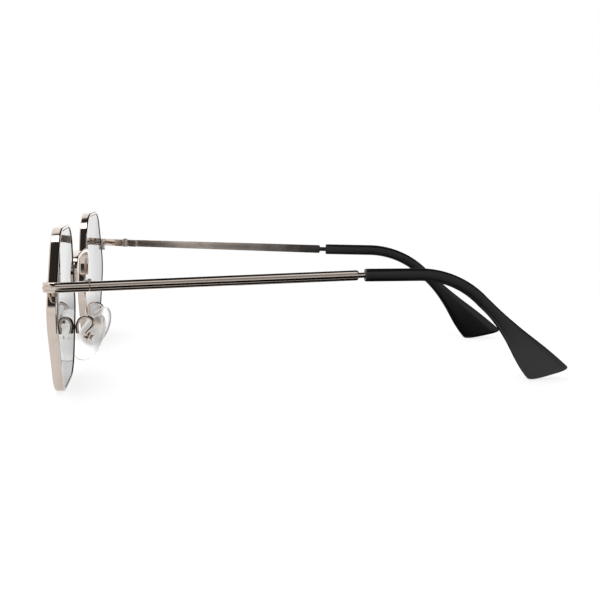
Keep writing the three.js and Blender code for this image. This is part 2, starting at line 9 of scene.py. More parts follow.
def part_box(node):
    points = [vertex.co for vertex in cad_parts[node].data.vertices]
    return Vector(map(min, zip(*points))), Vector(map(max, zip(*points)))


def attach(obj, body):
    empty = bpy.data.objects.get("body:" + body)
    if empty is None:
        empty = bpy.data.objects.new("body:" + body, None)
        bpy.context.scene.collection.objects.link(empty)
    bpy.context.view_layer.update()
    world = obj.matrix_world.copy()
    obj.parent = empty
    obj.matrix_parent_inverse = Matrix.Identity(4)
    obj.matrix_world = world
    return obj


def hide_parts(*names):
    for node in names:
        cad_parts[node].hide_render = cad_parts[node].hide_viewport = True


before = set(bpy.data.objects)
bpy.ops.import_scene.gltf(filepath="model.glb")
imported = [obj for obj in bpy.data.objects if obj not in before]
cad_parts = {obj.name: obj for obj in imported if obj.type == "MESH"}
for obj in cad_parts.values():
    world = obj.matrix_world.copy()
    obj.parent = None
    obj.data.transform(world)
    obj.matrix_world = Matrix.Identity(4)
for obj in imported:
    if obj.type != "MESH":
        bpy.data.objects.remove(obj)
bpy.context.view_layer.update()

# Eyewires: two flat strips of nickel silver with a lens groove rolled into the inner face, each bent to a
# rounded hexagon, split on its temple side, polished and plated bright. Each piece is drawn on the bench
# in millimetres, then set in place in metres.
millimetre = 0.001
rim_corners = [(23.95, -7.7), (10.5, 13.05), (-16.1, 13.05), (-23.95, -12.5), (-15.9, -31.65), (10.3, -31.65)]
rim_radius = 10.6
rim_bend_steps = 14
rim_thickness = 1.05
rim_depth = 2.6
rim_edge = 0.4
rim_edge_steps = 6
rim_split = 0.3
split_height = -1.2
rim_centre_x = 35.6
rim_middle_height = 22.3
groove_depth = 0.45
groove_front = -0.8
groove_middle = -0.3
groove_back = 0.2
face_form = radians(1.5)
bridge_setback = 1.15

bridge_low, bridge_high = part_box("bridge")
leaf_low, leaf_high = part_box("left_front_hinge_leaf")
middle = (
    Matrix.Translation((0, (bridge_low.y + bridge_high.y) / 2, (leaf_low.z + leaf_high.z) / 2))
    @ Matrix.Scale(millimetre, 4)
    @ Matrix.Translation((0, -bridge_setback, 0))
)
left_side = middle @ Matrix.Rotation(face_form, 4, "Z")
left_rim_place = left_side @ Matrix.Translation((rim_centre_x, 0, 0))


def bench(name, primitive, **sizes):
    """Adds a primitive alone on the bench and opens it for shaping."""
    if bpy.context.mode != "OBJECT":
        bpy.ops.object.mode_set(mode="OBJECT")
    bpy.ops.object.select_all(action="DESELECT")
    primitive(**sizes)
    piece = bpy.context.object
    piece.name = piece.data.name = name
    bpy.ops.object.transform_apply(location=True, rotation=True, scale=True)
    bpy.ops.object.mode_set(mode="EDIT")
    bpy.ops.mesh.select_all(action="SELECT")
    return piece


def same(one, other):
    """Whether two measures on the bench agree, to a micrometre."""
    return abs(one - other) < 1e-3


def pick(kind, test):
    """Selects the points, edges or faces of the open piece that pass a test."""
    bpy.ops.mesh.select_mode(type=kind)
    bpy.ops.mesh.select_all(action="DESELECT")
    mesh = bpy.context.object.data
    shape = bmesh.from_edit_mesh(mesh)
    for part in {"VERT": shape.verts, "EDGE": shape.edges, "FACE": shape.faces}[kind]:
        if test(part):
            part.select_set(True)
    shape.select_flush_mode()
    bmesh.update_edit_mesh(mesh)


def flat_at(axis, place):
    """A test for edges and faces that lie at one place along an axis."""
    return lambda part: all(same(getattr(v.co, axis), place) for v in part.verts)


def draw_out(x, y, z):
    """Extrudes what is picked by a step."""
    bpy.ops.mesh.extrude_region_move(TRANSFORM_OT_translate={"value": (x, y, z)})


def bend(centre, axis, angle, steps):
    """Extrudes what is picked round a centre, right-handed about the axis."""
    bpy.ops.mesh.spin(steps=steps, angle=-angle, center=centre, axis=axis)


def shift(x, y, z):
    """Moves what is picked."""
    bpy.ops.transform.translate(value=(x, y, z))


def scale_end(x, y, z, centre):
    """Resizes what is picked about a centre."""
    bpy.ops.transform.resize(value=(x, y, z), center_override=centre)


def face_outwards(piece):
    """Turns the faces of a piece outwards and leaves it shut."""
    bpy.context.view_layer.objects.active = piece
    bpy.ops.object.mode_set(mode="EDIT")
    bpy.ops.mesh.select_all(action="SELECT")
    bpy.ops.mesh.normals_make_consistent(inside=False)
    bpy.ops.object.mode_set(mode="OBJECT")


def set_in_place(piece, place, sharp=35):
    """Closes the piece, shades it and moves it from the bench to its place in the frame."""
    face_outwards(piece)
    bpy.ops.object.shade_smooth_by_angle(angle=radians(sharp))
    piece.matrix_world = place
    bpy.ops.object.transform_apply(location=True, rotation=True, scale=True)


def fix(piece, node, body, finish):
    """Gives a finished piece its finish, ties it to its body, and hides the node it stands for."""
    piece.data.materials.clear()
    piece.data.materials.append(finish)
    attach(piece, body)
    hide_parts(node)


def fix_pair(piece, name, node, body, finish):
    """Fixes the left-hand piece, and a mirrored copy of it on the right."""
    bpy.ops.object.select_all(action="DESELECT")
    piece.select_set(True)
    bpy.context.view_layer.objects.active = piece
    bpy.ops.object.duplicate()
    other = bpy.context.object
    other.scale.x = -1
    bpy.ops.object.transform_apply(location=True, rotation=True, scale=True)
    face_outwards(other)
    for side, one in (("left", piece), ("right", other)):
        one.name = one.data.name = f"{side}_{name}"
        fix(one, f"{side}_{node}", body.format(side=side), finish)


def rounding(corners, index, radius):
    """Start, end, centre and turn of the arc that rounds one corner of an anticlockwise outline."""
    before, corner, after = (Vector(corners[(index + step) % len(corners)]) for step in (-1, 0, 1))
    arriving = (corner - before).normalized()
    leaving = (after - corner).normalized()
    turn = atan2(arriving.x * leaving.y - arriving.y * leaving.x, arriving.dot(leaving))
    run = radius * tan(turn / 2)
    start = corner - arriving * run
    centre = start + Vector((-arriving.y, arriving.x)) * radius
    return start, corner + leaving * run, centre, turn


class Shade:
    """A value, colour or shader on its way through the nodes of a finish."""

    def __init__(self, tree, socket=None):
        self.tree = tree
        self.socket = socket

    def node(self, kind, settings, sockets, outlet=0):
        """Adds a node with its settings, and the values or links of its sockets."""
        made = self.tree.nodes.new("ShaderNode" + kind)
        for name, value in settings.items():
            setattr(made, name, value)
        for name, value in sockets.items():
            if isinstance(value, Shade):
                self.tree.links.new(value.socket, made.inputs[name])
            else:
                made.inputs[name].default_value = value
        return Shade(self.tree, made.outputs[outlet] if made.outputs else None)

    def maths(self, operation, first, second):
        """Two values, joined by one Math node."""
        return self.node("Math", {"operation": operation}, {0: first, 1: second})

    def __add__(self, other):
        return self.maths("ADD", self, other)

    __radd__ = __add__

    def __sub__(self, other):
        return self.maths("SUBTRACT", self, other)

    def __rsub__(self, other):
        return self.maths("SUBTRACT", other, self)

    def __mul__(self, other):
        return self.maths("MULTIPLY", self, other)

    __rmul__ = __mul__

    def mixed(self, first, second):
        """Two colours, blended by this value. The colour sockets of a Mix node go by number."""
        return self.node("Mix", {"data_type": "RGBA"}, {0: self, 6: first, 7: second}, 2)

    def between(self, start, end, low=0.0, high=1.0, way="LINEAR"):
        """Low where this value is at the start, high where it is at the end, and a blend between."""
        return self.node("MapRange", {"interpolation_type": way}, {
            "Value": self, "From Min": start, "From Max": end, "To Min": low, "To Max": high,
        })

    def place(self):
        """Where a spot lies on the piece, in metres."""
        return self.node("TexCoord", {}, {}, "Object")

    def axes(self):
        """The X, Y and Z of this place or direction."""
        return [self.node("SeparateXYZ", {}, {"Vector": self}, axis) for axis in "XYZ"]

    def noise(self, scale, detail=2.0, roughness=0.5):
        """Mottling over this place, with so many lumps to the metre."""
        return self.node("TexNoise", {}, {
            "Vector": self, "Scale": scale, "Detail": detail, "Roughness": roughness,
        })

    def relief(self, strength, depth, under=None):
        """A surface raised by this value, over another such surface if there is one."""
        sockets = {"Strength": strength, "Distance": depth, "Height": self}
        if under:
            sockets["Normal"] = under
        return self.node("Bump", {}, sockets)

    def cover(self, shader):
        """Makes a shader the surface of this finish."""
        self.node("OutputMaterial", {}, {"Surface": shader})


def new_finish(name):
    """An empty material, and the start of its nodes."""
    material = bpy.data.materials.new(name)
    material.use_nodes = True
    material.node_tree.nodes.clear()
    return material, Shade(material.node_tree)


def polished_metal(name, painted_shade_and_wear=None):
    """Bright plated metal, buffed lengthwise and a little hazed, then given painted shade and wear for its
    part.
    """
    material, metal = new_finish(name)
    place = metal.place()
    stretched = metal.node("Mapping", {}, {"Vector": place, "Scale": (2600, 190, 2600)})
    buff_lines = stretched.noise(1.0, detail=3.0, roughness=0.6)
    haze = place.noise(210.0, detail=4.0, roughness=0.62)
    rubbed = haze.between(0.52, 0.74)
    tone = rubbed.mixed((0.63, 0.545, 0.485, 1), (0.57, 0.49, 0.43, 1))
    roughness = 0.055 + rubbed * 0.05 + buff_lines * 0.045
    skin = buff_lines.relief(0.06, 0.00002)
    if painted_shade_and_wear:
        tone, roughness, skin = painted_shade_and_wear(metal, place, haze, tone, roughness, skin)
    metal.cover(metal.node("BsdfPrincipled", {}, {
        "Base Color": tone, "Metallic": 1.0, "Roughness": roughness, "Normal": skin,
    }))
    return material


def painted_shade_inside(metal, place, haze, tone, roughness, skin):
    """Paints shade on the rims' groove side, and leaves the strip a little wavy from its rolling."""
    side, _, height = place.axes()
    face_side, _, face_up = metal.node("NewGeometry", {}, {}, "Normal").axes()
    hand = metal.maths("SIGN", side, 0.0)
    from_centre = side * hand - rim_centre_x * millimetre
    outward = from_centre * face_side * hand + (height - rim_middle_height * millimetre) * face_up
    # Painted shade: the faces turned in towards the lens are mixed to near black.
    inside = outward.between(-0.003, -0.009)
    waves = place.noise(150.0, detail=1.0)
    return inside.mixed(tone, (0.03, 0.026, 0.024, 1)), roughness, waves.relief(0.5, 0.00012, skin)


bright_metal = polished_metal("bright_metal")
rim_metal = polished_metal("rim_metal", painted_shade_inside)

# A slip of the strip's own section is drawn out both ways from the middle of the rim's top.
rim_top = rim_corners[1][1]
rim_inner = rim_top - rim_thickness
top_middle = (rim_corners[1][0] + rim_corners[2][0]) / 2
slip_middle = (top_middle, 0, rim_top - rim_thickness / 2)
rim = bench("rim", bpy.ops.mesh.primitive_plane_add, size=1, location=slip_middle, rotation=(0, pi / 2, 0))
scale_end(1, rim_depth, rim_thickness, slip_middle)
bpy.ops.mesh.bevel(offset=rim_edge, segments=rim_edge_steps, affect="VERTICES")
pick("EDGE", flat_at("z", rim_inner))
bpy.ops.mesh.subdivide(number_cuts=3)
cut_step = (rim_depth / 2 - rim_edge) / 2
for cut, groove, rise in (
    (-cut_step, groove_front, 0), (0, groove_middle, groove_depth), (cut_step, groove_back, 0),
):
    pick("VERT", lambda v: same(v.co.y, cut) and same(v.co.z, rim_inner))
    shift(0, groove - cut, rise)

along = (Vector(rim_corners[1]) - Vector(rim_corners[0])).normalized()
split_share = (split_height - rim_corners[0][1]) / (rim_corners[1][1] - rim_corners[0][1])
split_point = Vector(rim_corners[0]).lerp(Vector(rim_corners[1]), split_share)


def carry_round(indices, clockwise, end):
    """Takes the picked section round the listed corners to the end of the strip."""
    here = Vector((top_middle, rim_top))
    for index in indices:
        first, last, centre, turn = rounding(rim_corners, index, rim_radius)
        if clockwise:
            first, last = last, first
        draw_out(first.x - here.x, 0, first.y - here.y)
        bend((centre.x, 0, centre.y), (0, 1 if clockwise else -1, 0), turn, rim_bend_steps)
        here = last
    draw_out(end.x - here.x, 0, end.y - here.y)


pick("FACE", lambda face: True)
carry_round([2, 3, 4, 5, 0], clockwise=False, end=split_point - along * rim_split / 2)
pick("FACE", flat_at("x", top_middle))
carry_round([1], clockwise=True, end=split_point + along * rim_split / 2)
set_in_place(rim, left_rim_place)
fix_pair(rim, "rim", "eyewire", "front", rim_metal)

# Sun lenses: dark grey plastic, slightly domed, edged to the shape of the rim with a bevel that stands in
# its groove. Hard-coated, so the back mirrors what is beside it when seen along the surface.
lens_front = 0.75
lens_back = 1.35
lens_dome = 0.8
lens_clearance = 0.1
lens_half_width = 22
lens_rings = [0.97, 0.9, 0.8, 0.68, 0.54, 0.4, 0.26, 0.12]
bevel_flat = 0.001
arc_profile = 0.536

dark_lens, lens_shade = new_finish("dark_lens")
lens_spot = lens_shade.place()
wiped = lens_shade.node("Mapping", {}, {"Vector": lens_spot, "Scale": (130, 130, 320)})
smear = wiped.noise(1.0, detail=5.0, roughness=0.65)
dust = lens_shade.node("TexVoronoi", {"feature": "DISTANCE_TO_EDGE"}, {"Vector": lens_spot, "Scale": 900.0})
lens_skin = dust.relief(0.01, 0.00001)
tinted = lens_shade.node("BsdfPrincipled", {}, {
    "Base Color": smear.mixed((0.016, 0.017, 0.019, 1), (0.026, 0.027, 0.029, 1)),
    "Roughness": 0.015 + smear * 0.03, "IOR": 1.8, "Alpha": 0.93, "Normal": lens_skin,
})
hard_coat = lens_shade.node("BsdfPrincipled", {}, {
    "Base Color": smear.mixed((0.92, 0.915, 0.91, 1), (0.86, 0.855, 0.85, 1)), "Metallic": 1.0,
    "Roughness": 0.02 + smear * 0.03, "Normal": lens_skin,
})
slant = lens_shade.node("LayerWeight", {}, {"Blend": 0.5}, "Facing")
lens_shade.cover(lens_shade.node("MixShader", {}, {
    0: slant.between(0.45, 0.9, high=0.42), 1: tinted, 2: hard_coat,
}))


def inset_corners(inset):
    """Corners of the rim's outline, moved inwards."""
    found = []
    for index, corner in enumerate(rim_corners):
        *_, turn = rounding(rim_corners, index, rim_radius)
        before, after = Vector(rim_corners[index - 1]), Vector(rim_corners[(index + 1) % len(rim_corners)])
        inward = ((before - Vector(corner)).normalized() + (after - Vector(corner)).normalized()).normalized()
        found.append(Vector(corner) + inward * inset / cos(turn / 2))
    return found


def is_outline(face):
    """Whether a face is the whole outline of the lens, and not a strip of it."""
    return len(face.verts) > 4


edge_inset = rim_thickness - groove_depth + lens_clearance
body_inset = rim_thickness + lens_clearance
body_share = 1 - (body_inset - edge_inset) / lens_half_width
lens_middle = (rim_corners[1][1] + rim_corners[4][1]) / 2
lens = bench(
    "lens", bpy.ops.mesh.primitive_circle_add, vertices=len(rim_corners), radius=rim_radius, fill_type="NGON",
    location=(0, groove_middle, 0), rotation=(pi / 2, 0, 0),
)
edge_corners = inset_corners(edge_inset)
shape = bmesh.from_edit_mesh(lens.data)
starts = sorted((v.co.copy() for v in shape.verts), key=lambda co: atan2(co.z, co.x) % (2 * pi))
ends = sorted(edge_corners, key=lambda c: atan2(c.y - lens_middle, c.x) % (2 * pi))
for start, end in zip(starts, ends):
    pick("VERT", lambda v: same((v.co - start).length, 0))
    shift(end.x - start.x, 0, end.y - start.z)
for index, corner in enumerate(edge_corners):
    *_, turn = rounding(edge_corners, index, rim_radius)
    pick("VERT", lambda v: same((v.co - Vector((corner.x, groove_middle, corner.y))).length, 0))
    bpy.ops.mesh.bevel(
        offset=(rim_radius - edge_inset) * tan(turn / 2), segments=rim_bend_steps, affect="VERTICES",
        profile=arc_profile,
    )
pick("FACE", lambda face: True)
draw_out(0, bevel_flat, 0)
for reach, outermost in ((-lens_front, min), (lens_back, max)):
    outlines = [face for face in bmesh.from_edit_mesh(lens.data).faces if is_outline(face)]
    level = outermost(face.calc_center_median().y for face in outlines)
    pick("FACE", lambda face: is_outline(face) and face.calc_center_median().y == level)
    draw_out(0, reach, 0)
    scale_end(body_share, 1, body_share, (0, 0, lens_middle))
    last = 1.0
    for share in lens_rings:
        draw_out(0, -lens_dome * (last * last - share * share), 0)
        scale_end(share / last, 1, share / last, (0, 0, lens_middle))
        last = share
    draw_out(0, -lens_dome * last * last, 0)
    bpy.ops.mesh.merge(type="CENTER")
set_in_place(lens, left_rim_place, sharp=30)
fix_pair(lens, "sun_lens", "lens", "front", dark_lens)

# Bridge: one flat band of the same metal, arched over the nose, with a leg at each end that is soldered
# down the nose side of a rim. Half of it is drawn out from the crown and mirrored.
bridge_thickness = 1.2
bridge_depth = 2.8
bridge_edge = 0.25
bridge_shoulder = Vector((15.228, 1.7))
bridge_foot = Vector((12.801, -6.2))
bridge_crown = Vector((0, 2.7))
foot_round = 0.35
shoulder_radius = 4.0
shoulder_steps = 14
crown_radius = 100.0
crown_steps = 6


def round_end(radius):
    """Rounds the edge of the end that is picked."""
    bpy.ops.mesh.region_to_loop()
    bpy.ops.mesh.bevel(offset=radius, segments=4)


fall = atan2(bridge_crown.y - bridge_shoulder.y, bridge_shoulder.x)
crown_top = bridge_crown.y - crown_radius * (1 / cos(fall) - 1)
crown_run = crown_radius * tan(fall)
down = (bridge_foot - bridge_shoulder).normalized()
out = (bridge_shoulder - bridge_crown).normalized()
shoulder_turn = out.angle(down)
shoulder_run = shoulder_radius * tan(shoulder_turn / 2)
crown_middle = (0, bridge_setback, crown_top)
arch = bench(
    "nose_bridge", bpy.ops.mesh.primitive_plane_add, size=1, location=crown_middle, rotation=(0, pi / 2, 0),
)
scale_end(1, bridge_depth, bridge_thickness, crown_middle)
bpy.ops.mesh.bevel(offset=bridge_edge, segments=4, affect="VERTICES")
bend((0, 0, crown_top - crown_radius), (0, 1, 0), fall, crown_steps)
length = (bridge_shoulder - bridge_crown).length - crown_run - shoulder_run
draw_out(out.x * length, 0, out.y * length)
bend_start = bridge_shoulder - out * shoulder_run
bend_centre = bend_start + Vector((out.y, -out.x)) * shoulder_radius
bend((bend_centre.x, 0, bend_centre.y), (0, 1, 0), shoulder_turn, shoulder_steps)
length = (bridge_foot - bridge_shoulder).length - shoulder_run
draw_out(down.x * length, 0, down.y * length)
round_end(foot_round)
pick("FACE", flat_at("x", 0))
bpy.ops.mesh.delete(type="FACE")
bpy.ops.object.mode_set(mode="OBJECT")
mirror = arch.modifiers.new("other half", "MIRROR")
bpy.ops.object.modifier_apply(modifier=mirror.name)
set_in_place(arch, middle)
fix(arch, "bridge", "front", bright_metal)

# Rim blocks: two small milled blocks soldered above and below each rim's split, bored for the screw that
# pulls them together and shuts the rim on the lens.
block_height = 0.85
block_front = -0.2
block_back = 2.2
block_outer = 57.709
block_start = block_outer - 1
block_round = 0.25
block_axis = (56.759, 1.0)
rim_screw_radius = 0.45
bore_clearance = 0.09
drill_length = 8.0
solder_gap = 0.15


def beside_rim(height):
    """Where a piece soldered to the rim's slanting temple side begins, at a height."""
    return rim_centre_x + split_point.x + along.x / along.y * (height - split_height) + solder_gap / along.y


def slab(name, low, high):
    """A plain block on the bench, between two corners."""
    low, high = Vector(low), Vector(high)
    piece = bench(name, bpy.ops.mesh.primitive_cube_add, size=1, location=(low + high) / 2)
    scale_end(*(high - low), (low + high) / 2)
    return piece


def combine(piece, other, operation):
    """Cuts another bench piece out of this one, or joins it on."""
    bpy.ops.object.mode_set(mode="OBJECT")
    bpy.ops.object.select_all(action="DESELECT")
    face_outwards(other)
    face_outwards(piece)
    piece.select_set(True)
    change = piece.modifiers.new("combine", "BOOLEAN")
    change.operation = operation
    change.object = other
    change.solver = "EXACT"
    bpy.ops.object.modifier_apply(modifier=change.name)
    bpy.data.objects.remove(other, do_unlink=True)


def bore(piece, radius, location, rotation=(0, 0, 0), length=drill_length):
    """Drills a hole with clearance for a screw or wire, half its length to each side of a place."""
    drill = bench(
        "drill", bpy.ops.mesh.primitive_cylinder_add, vertices=32, radius=radius + bore_clearance,
        depth=length, location=location, rotation=rotation,
    )
    combine(piece, drill, "DIFFERENCE")


for upper, name in ((1, "upper"), (-1, "lower")):
    near = split_height + upper * rim_split / 2
    far = near + upper * block_height
    low, high = sorted((near, far))
    block = slab("block", (block_start, block_front, low), (block_outer, block_back, high))
    for height in (near, far):
        pick("VERT", lambda v: same(v.co.x, block_start) and same(v.co.z, height))
        shift(beside_rim(height) - block_start, 0, 0)
    pick("EDGE", flat_at("x", block_outer))
    bpy.ops.mesh.bevel(offset=block_round, segments=3)
    bore(block, rim_screw_radius, (*block_axis, 0))
    set_in_place(block, left_side)
    fix_pair(block, f"{name}_rim_block", f"closing_block_{name}", "front", bright_metal)

# Rim screws: small slotted steel screws through the blocks. The hinge and pad screws are the same kind, so
# one is turned from bar here and cut to length for each place.
screw_overhang = 0.35
screw_head = 0.4
screw_head_round = 0.22
screw_point = 0.12
screw_proud = 0.15
slot_width = 0.28
slot_depth = 0.2
cutter_reach = 2.0

screw_steel, steel = new_finish("screw_steel")
steel_place = steel.place()
lathe_marks = steel_place.noise(2400.0, detail=4.0, roughness=0.7)
grime = steel_place.noise(700.0)
steel.cover(steel.node("BsdfPrincipled", {}, {
    "Base Color": grime.mixed((0.52, 0.5, 0.48, 1), (0.36, 0.345, 0.33, 1)), "Metallic": 1.0,
    "Roughness": 0.2 + lathe_marks * 0.16, "Normal": lathe_marks.relief(0.12, 0.00002),
}))


def slotted_screw(radius, reach):
    """A screw on the bench, upright about the middle of its shank."""
    screw = bench(
        "screw", bpy.ops.mesh.primitive_circle_add, vertices=32, radius=radius - screw_point,
        fill_type="NGON", location=(0, 0, -reach),
    )
    draw_out(0, 0, screw_point)
    spread = radius / (radius - screw_point)
    scale_end(spread, spread, 1, (0, 0, 0))
    draw_out(0, 0, 2 * reach - screw_point)
    draw_out(0, 0, 0)
    spread = (radius + screw_overhang) / radius
    scale_end(spread, spread, 1, (0, 0, 0))
    draw_out(0, 0, screw_head)
    round_end(screw_head_round)
    top = reach + screw_head
    slot = slab(
        "slot", (-cutter_reach, -slot_width / 2, top - slot_depth),
        (cutter_reach, slot_width / 2, top + slot_depth),
    )
    combine(screw, slot, "DIFFERENCE")
    return screw


rim_screw = slotted_screw(rim_screw_radius, rim_split / 2 + block_height + screw_proud)
set_in_place(rim_screw, left_side @ Matrix.Translation((*block_axis, split_height)))
fix_pair(rim_screw, "rim_screw", "closing_screw", "front", screw_steel)

# End pieces: short lengths of ribbed bar, soldered to the side of the rim, that climb outwards and are bent
# back round the corner to the hinge. The bar is drawn through a die with a crowned face of three ribs, and
# the bend is pressed flatter and its grooves are sunk deeper.
bar_thickness = 1.1
bar_front_height = 2.6
bar_rear_height = 2.9
bar_crown_radius = 1.9
bar_edge = 0.25
bar_inner_edge = 0.15
bar_inner_crown = 0.08
bar_cuts = 60
groove_shares = (0.34, 0.72)
groove_half = 0.075
groove_cut = 0.05
end_piece_front = 0.9
end_piece_fall = 1.2
end_piece_radius = 2.15
corner_steps = 20
corner_flattening = 0.75
corner_outer_share = 0.85
corner_groove_half = 0.2
corner_groove_cut = 0.22
hinge_turn = radians(16)
hinge_middle = Vector((62, 9.8))
hinge_gap = 0.3


def crown_drop(z, height):
    """How far the crowned face of the bar falls back at a height."""
    radius = bar_crown_radius * height / bar_front_height
    return radius - (radius ** 2 - z ** 2) ** 0.5


def sunk(z, height, half):
    """How far down in a groove a height on the bar lies, from 0 on a rib to 1 in the middle of a groove."""
    return sum(max(0, 1 - abs(z - height * (0.5 - share)) / half) for share in groove_shares)


def ribbed_bar(name, height, x, y):
    """A slip of the bar's section, standing across the Y direction with its ribs to +X."""
    slip = bench(name, bpy.ops.mesh.primitive_plane_add, size=1, location=(x, y, 0), rotation=(pi / 2, 0, 0))
    scale_end(bar_thickness, 1, height, (x, y, 0))
    outer_face = x + bar_thickness / 2
    inner_face = x - bar_thickness / 2
    pick("VERT", lambda v: same(v.co.x, outer_face))
    bpy.ops.mesh.bevel(offset=bar_edge, segments=5, affect="VERTICES")
    pick("VERT", lambda v: same(v.co.x, inner_face))
    bpy.ops.mesh.bevel(offset=bar_inner_edge, segments=4, affect="VERTICES")
    pick("EDGE", flat_at("x", outer_face))
    bpy.ops.mesh.subdivide(number_cuts=bar_cuts)
    pick("EDGE", flat_at("x", inner_face))
    bpy.ops.mesh.subdivide(number_cuts=bar_cuts // 4)
    face_half = height / 2 - bar_edge
    for point in bmesh.from_edit_mesh(slip.data).verts:
        across = max(-1, min(1, point.co.z / face_half))
        if point.co.x < x - bar_thickness / 4:
            point.co.x += bar_inner_crown * across ** 2
        elif point.co.x > x:
            point.co.x -= crown_drop(point.co.z, height) + groove_cut * sunk(point.co.z, height, groove_half)
    bmesh.update_edit_mesh(slip.data)
    pick("FACE", lambda face: True)
    return slip


# The bench is turned a quarter, so that the bar starts along +Y with its ribs towards the front.
corner_turn = pi / 2 + hinge_turn
corner_x = hinge_middle.x + (hinge_middle.y + end_piece_front) * tan(hinge_turn)
corner_run = end_piece_radius * tan(corner_turn / 2)
bend_from = corner_x - corner_run
bend_centre = Vector((end_piece_front - end_piece_radius, bend_from))
corner_bar = ribbed_bar("corner_bar", bar_front_height, end_piece_front, bend_from)
bend((*bend_centre, 0), (0, 0, 1), corner_turn, corner_steps)
straight = (hinge_middle.y + end_piece_front) / cos(hinge_turn) - corner_run - hinge_gap / 2
draw_out(-cos(hinge_turn) * straight, -sin(hinge_turn) * straight, 0)
pick("FACE", flat_at("y", bend_from))
draw_out(0, beside_rim(-end_piece_fall) - bend_from, -end_piece_fall)
for point in bmesh.from_edit_mesh(corner_bar.data).verts:
    if point.select:
        point.co.y = beside_rim(point.co.z)
for point in bmesh.from_edit_mesh(corner_bar.data).verts:
    spoke = point.co.xy - bend_centre
    turned = max(0, atan2(spoke.y, spoke.x)) / (pi / 2)
    if turned < 1 and spoke.x > 0 and spoke.length > end_piece_radius * corner_outer_share:
        z = point.co.z
        press = crown_drop(min(bar_front_height / 2, abs(z)), bar_front_height) * (1 - turned ** 2)
        point.co.xy += spoke.normalized() * press * corner_flattening
        if spoke.y > 0 or same(spoke.y, 0):
            sink = sunk(z, bar_front_height, corner_groove_half) * (1 - turned ** 4)
            point.co.xy -= spoke.normalized() * sink * corner_groove_cut
bmesh.update_edit_mesh(corner_bar.data)
set_in_place(corner_bar, left_side @ Matrix.Rotation(-pi / 2, 4, "Z"), sharp=25)
fix_pair(corner_bar, "corner_bar", "end_piece", "front", bright_metal)

# Hinges: a leaf with two knuckles on each end piece and a leaf with one on each temple, milled from the
# same metal, soldered on behind the ribs and pinned by a slotted screw. Their inner sides are rougher.
barrel_radius = 1.05
leaf_height = 2.5
leaf_thickness = 0.7
leaf_length = 4.4
leaf_outer = 1.05
leaf_inner = leaf_outer - leaf_thickness
leaf_round = 0.25
strap_lap = 0.3
running_gap = 0.1
hinge_screw_radius = 0.55
knuckle_height = (leaf_height - 2 * running_gap) / 3
bar_offset = leaf_outer + solder_gap + bar_thickness / 2
hinge_pin = hinge_middle - Vector((cos(hinge_turn), sin(hinge_turn))) * bar_offset
left_hinge = left_side @ Matrix.Translation((*hinge_pin, 0)) @ Matrix.Rotation(hinge_turn, 4, "Z")


def rougher_inside_darker_to_ear(metal, place, haze, tone, roughness, skin):
    """Makes the inner side of the temples rougher, and darker in colour towards the ear."""
    side, back, _ = place.axes()
    face_side = metal.node("NewGeometry", {}, {}, "Normal").axes()[0]
    inner = (face_side * metal.maths("SIGN", side, 0.0)).between(-0.3, -0.6)
    ear_end = (back + haze * 0.02).between(-0.04, 0.012)
    return (inner * ear_end).mixed(tone, (0.05, 0.046, 0.044, 1)), roughness + inner * 0.22, skin


temple_metal = polished_metal("temple_metal", rougher_inside_darker_to_ear)


def hinge_leaf(side, knuckles):
    """A leaf on the bench: its plate lies before or behind the pin, with knuckles at the levels given."""
    plate_from = barrel_radius + hinge_gap
    front, back = sorted((side * plate_from, side * leaf_length))
    leaf = slab("leaf", (leaf_inner, front, -leaf_height / 2), (leaf_outer, back, leaf_height / 2))
    pick("EDGE", flat_at("y", side * leaf_length))
    bpy.ops.mesh.bevel(offset=leaf_round, segments=4)
    front, back = sorted((0, side * (plate_from + strap_lap)))
    for level in knuckles:
        knuckle_middle = level * (knuckle_height + running_gap)
        low, high = knuckle_middle - knuckle_height / 2, knuckle_middle + knuckle_height / 2
        barrel = bench(
            "barrel", bpy.ops.mesh.primitive_cylinder_add, vertices=40, radius=barrel_radius,
            depth=knuckle_height, location=(0, 0, knuckle_middle),
        )
        strap = slab("strap", (leaf_inner, front, low), (leaf_outer, back, high))
        combine(barrel, strap, "UNION")
        combine(leaf, barrel, "UNION")
    bore(leaf, hinge_screw_radius, (0, 0, 0))
    return leaf


for side, knuckles, name, node, body in (
    (-1, (-1, 1), "rim_side_leaf", "front_hinge_leaf", "front"),
    (1, (0,), "temple_side_leaf", "temple_hinge_leaf", "{side}_temple"),
):
    leaf = hinge_leaf(side, knuckles)
    set_in_place(leaf, left_hinge, sharp=30)
    fix_pair(leaf, name, node, body, temple_metal)
hinge_screw = slotted_screw(hinge_screw_radius, leaf_height / 2 + running_gap)
set_in_place(hinge_screw, left_hinge)
fix_pair(hinge_screw, "hinge_pin_screw", "hinge_screw", "front", screw_steel)

# Temples: the same ribbed bar, a little taller towards the ear, swaged down at its end to a round wire neck
# and a core that runs on inside the tip.
bar_length = 75.0
bar_swage = ((0.35, 0.975), (0.22, 0.94), (0.13, 0.9))
neck_radius = 0.75
neck_length = 2.1
neck_root = 0.5
core_reach = 15.0
temple_rise = radians(0.3)
tip_toe_out = radians(10.7)
left_temple = left_hinge @ Matrix.Translation((bar_offset, 0, 0)) @ Matrix.Rotation(temple_rise, 4, "X")


def turn_end(angle, axis, centre):
    """Turns what is picked, right-handed about an axis."""
    bpy.ops.transform.rotate(value=-angle, orient_axis=axis, center_override=centre)


